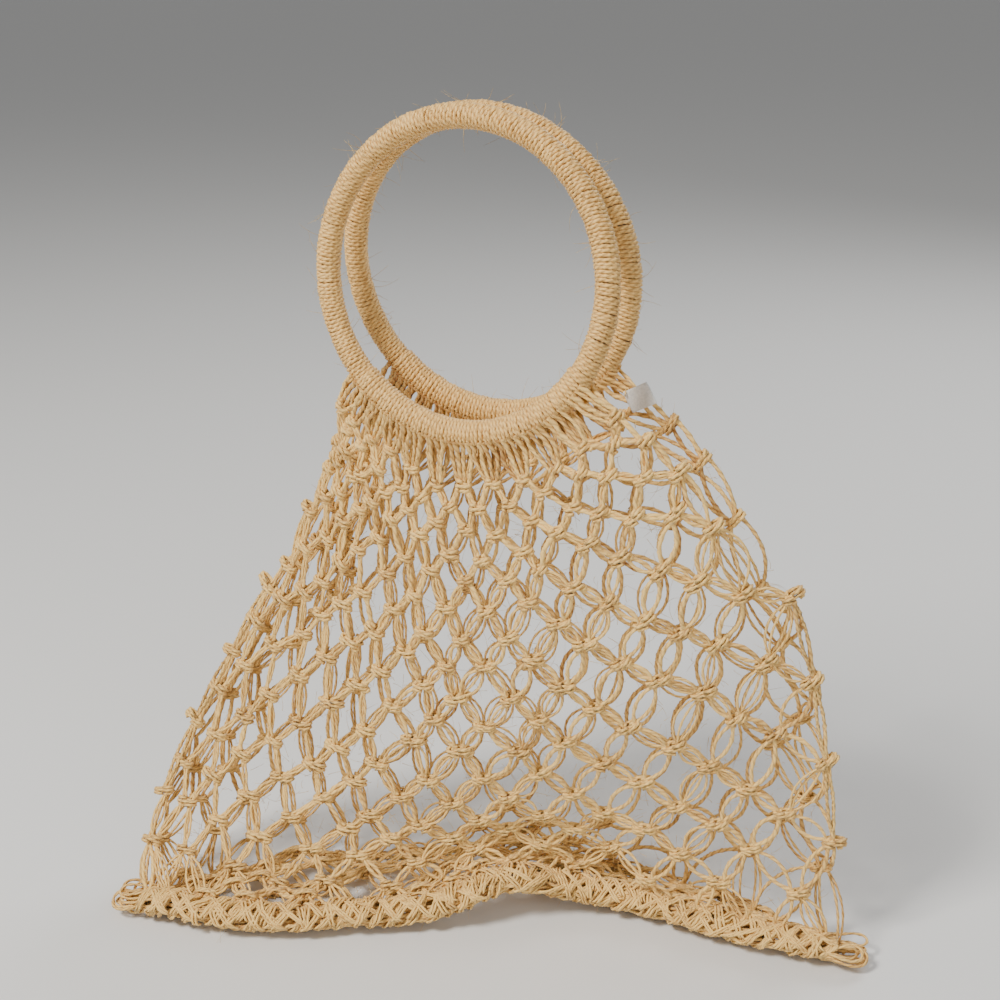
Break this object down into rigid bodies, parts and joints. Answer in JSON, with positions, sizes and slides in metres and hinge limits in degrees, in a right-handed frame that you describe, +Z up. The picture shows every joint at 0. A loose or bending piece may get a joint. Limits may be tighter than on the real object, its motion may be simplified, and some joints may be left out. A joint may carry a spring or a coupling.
{
  "type": "knotted net handbag",
  "caption": "Open knotted twine net handbag with round twine-wrapped hoop handles, spreading to a wide slack base closed by a thick braid.",
  "frame": {"origin": "bottom centre of the bag's box, on the ground that the net rests on", "axes": "+Z up, +X to the right along the hoops' planes, -Y to the front, where the braid lies"},
  "size_m": [0.3976, 0.1658, 0.431],
  "materials": {
    "rod": "plain cane",
    "wrapping": "close-wound golden straw twine, slightly glossy fibre",
    "net": "two-ply straw-coloured sisal twine, knotted, dry and hairy",
    "braid": "chunky plaited straw-coloured sisal",
    "tag": "blank white matte paper"
  },
  "bodies": {
    "net": {"front_net_panel": "net", "back_net_panel": "net", "base_net": "net", "left_side_join": "net", "right_side_join": "net", "bottom_braid": "braid", "left_corner_loop": "braid", "right_corner_loop": "braid", "price_tag": "tag"},
    "front_hoop": {"front_hoop_core": "rod", "front_hoop_wrapping": "wrapping", "front_hoop_binding": "wrapping", "front_heading_loops": "net"},
    "back_hoop": {"back_hoop_core": "rod", "back_hoop_wrapping": "wrapping", "back_hoop_binding": "wrapping", "back_heading_loops": "net"}
  },
  "joints": [
    {"name": "front_hoop_fold", "type": "hinge", "parent": "net", "child": "front_hoop", "pos_m": [-0.017, 0.0002, 0.2615], "axis": [1, 0, 0], "range_deg": [0, 140]},
    {"name": "back_hoop_fold", "type": "hinge", "parent": "net", "child": "back_hoop", "pos_m": [-0.017, 0.0492, 0.2615], "axis": [-1, 0, 0], "range_deg": [0, 140]}
  ]
}
